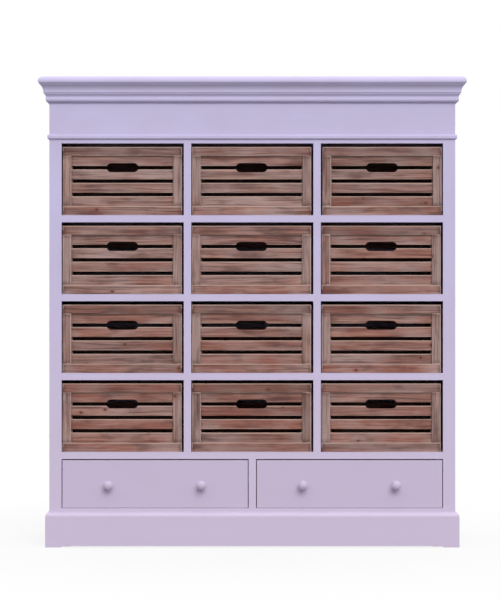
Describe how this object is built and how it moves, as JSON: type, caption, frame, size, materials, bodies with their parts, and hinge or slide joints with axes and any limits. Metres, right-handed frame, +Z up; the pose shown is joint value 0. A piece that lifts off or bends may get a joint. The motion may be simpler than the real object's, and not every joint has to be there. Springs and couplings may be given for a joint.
{
  "type": "seed storage cabinet",
  "caption": "Painted storage cabinet with loose slatted wooden crates in open bays above wide inset drawers, on a plinth, under a moulded cornice.",
  "frame": {"origin": "on the floor, at the middle of the overall width and depth", "axes": "+X to the right seen from the front, +Y from the front to the back, +Z up"},
  "size_m": [1.153, 0.4084, 1.269],
  "materials": {
    "lilac_paint": "satin pale lilac paint on wood",
    "weathered_fir": "weathered, bare, sawn and lightly brushed",
    "drawer_wood": "bare planed pine and plywood"
  },
  "bodies": {
    "cabinet": {"side_panel_left": "lilac_paint", "side_panel_right": "lilac_paint", "back_panel": "lilac_paint", "back_rail": "lilac_paint", "stile_left": "lilac_paint", "stile_right": "lilac_paint", "bottom_rail": "lilac_paint", "frieze_board": "lilac_paint", "drawer_deck": "lilac_paint", "ceiling_board": "lilac_paint", "bottom_panel": "lilac_paint", "partition_left": "lilac_paint", "partition_right": "lilac_paint", "shelf_boards": "lilac_paint", "drawer_divider": "lilac_paint", "crate_guides": "lilac_paint", "drawer_guides": "lilac_paint", "drawer_kickers": "lilac_paint", "drawer_stops": "lilac_paint", "top_blocks": "lilac_paint", "floor_blocks": "lilac_paint", "top_board": "lilac_paint", "cornice_front": "lilac_paint", "cornice_returns": "lilac_paint", "bead_front": "lilac_paint", "bead_returns": "lilac_paint", "plinth_front": "lilac_paint", "plinth_returns": "lilac_paint"},
    "crate_a1": {"crate_a1_front": "weathered_fir", "crate_a1_box": "weathered_fir"},
    "crate_b1": {"crate_b1_front": "weathered_fir", "crate_b1_box": "weathered_fir"},
    "crate_c1": {"crate_c1_front": "weathered_fir", "crate_c1_box": "weathered_fir"},
    "crate_a2": {"crate_a2_front": "weathered_fir", "crate_a2_box": "weathered_fir"},
    "crate_b2": {"crate_b2_front": "weathered_fir", "crate_b2_box": "weathered_fir"},
    "crate_c2": {"crate_c2_front": "weathered_fir", "crate_c2_box": "weathered_fir"},
    "crate_a3": {"crate_a3_front": "weathered_fir", "crate_a3_box": "weathered_fir"},
    "crate_b3": {"crate_b3_front": "weathered_fir", "crate_b3_box": "weathered_fir"},
    "crate_c3": {"crate_c3_front": "weathered_fir", "crate_c3_box": "weathered_fir"},
    "crate_a4": {"crate_a4_front": "weathered_fir", "crate_a4_box": "weathered_fir"},
    "crate_b4": {"crate_b4_front": "weathered_fir", "crate_b4_box": "weathered_fir"},
    "crate_c4": {"crate_c4_front": "weathered_fir", "crate_c4_box": "weathered_fir"},
    "drawer_left": {"drawer_left_front": "lilac_paint", "drawer_left_box": "drawer_wood", "drawer_left_bottom": "drawer_wood", "drawer_left_knobs": "lilac_paint"},
    "drawer_right": {"drawer_right_front": "lilac_paint", "drawer_right_box": "drawer_wood", "drawer_right_bottom": "drawer_wood", "drawer_right_knobs": "lilac_paint"}
  },
  "joints": [
    {"name": "crate_a1_slide", "type": "slide", "parent": "cabinet", "child": "crate_a1", "axis": [0, -1, 0], "range_m": [0, 0.35]},
    {"name": "crate_b1_slide", "type": "slide", "parent": "cabinet", "child": "crate_b1", "axis": [0, -1, 0], "range_m": [0, 0.35]},
    {"name": "crate_c1_slide", "type": "slide", "parent": "cabinet", "child": "crate_c1", "axis": [0, -1, 0], "range_m": [0, 0.35]},
    {"name": "crate_a2_slide", "type": "slide", "parent": "cabinet", "child": "crate_a2", "axis": [0, -1, 0], "range_m": [0, 0.35]},
    {"name": "crate_b2_slide", "type": "slide", "parent": "cabinet", "child": "crate_b2", "axis": [0, -1, 0], "range_m": [0, 0.35]},
    {"name": "crate_c2_slide", "type": "slide", "parent": "cabinet", "child": "crate_c2", "axis": [0, -1, 0], "range_m": [0, 0.35]},
    {"name": "crate_a3_slide", "type": "slide", "parent": "cabinet", "child": "crate_a3", "axis": [0, -1, 0], "range_m": [0, 0.35]},
    {"name": "crate_b3_slide", "type": "slide", "parent": "cabinet", "child": "crate_b3", "axis": [0, -1, 0], "range_m": [0, 0.35]},
    {"name": "crate_c3_slide", "type": "slide", "parent": "cabinet", "child": "crate_c3", "axis": [0, -1, 0], "range_m": [0, 0.35]},
    {"name": "crate_a4_slide", "type": "slide", "parent": "cabinet", "child": "crate_a4", "axis": [0, -1, 0], "range_m": [0, 0.35]},
    {"name": "crate_b4_slide", "type": "slide", "parent": "cabinet", "child": "crate_b4", "axis": [0, -1, 0], "range_m": [0, 0.35]},
    {"name": "crate_c4_slide", "type": "slide", "parent": "cabinet", "child": "crate_c4", "axis": [0, -1, 0], "range_m": [0, 0.35]},
    {"name": "drawer_left_slide", "type": "slide", "parent": "cabinet", "child": "drawer_left", "axis": [0, -1, 0], "range_m": [0, 0.26]},
    {"name": "drawer_right_slide", "type": "slide", "parent": "cabinet", "child": "drawer_right", "axis": [0, -1, 0], "range_m": [0, 0.26]}
  ]
}
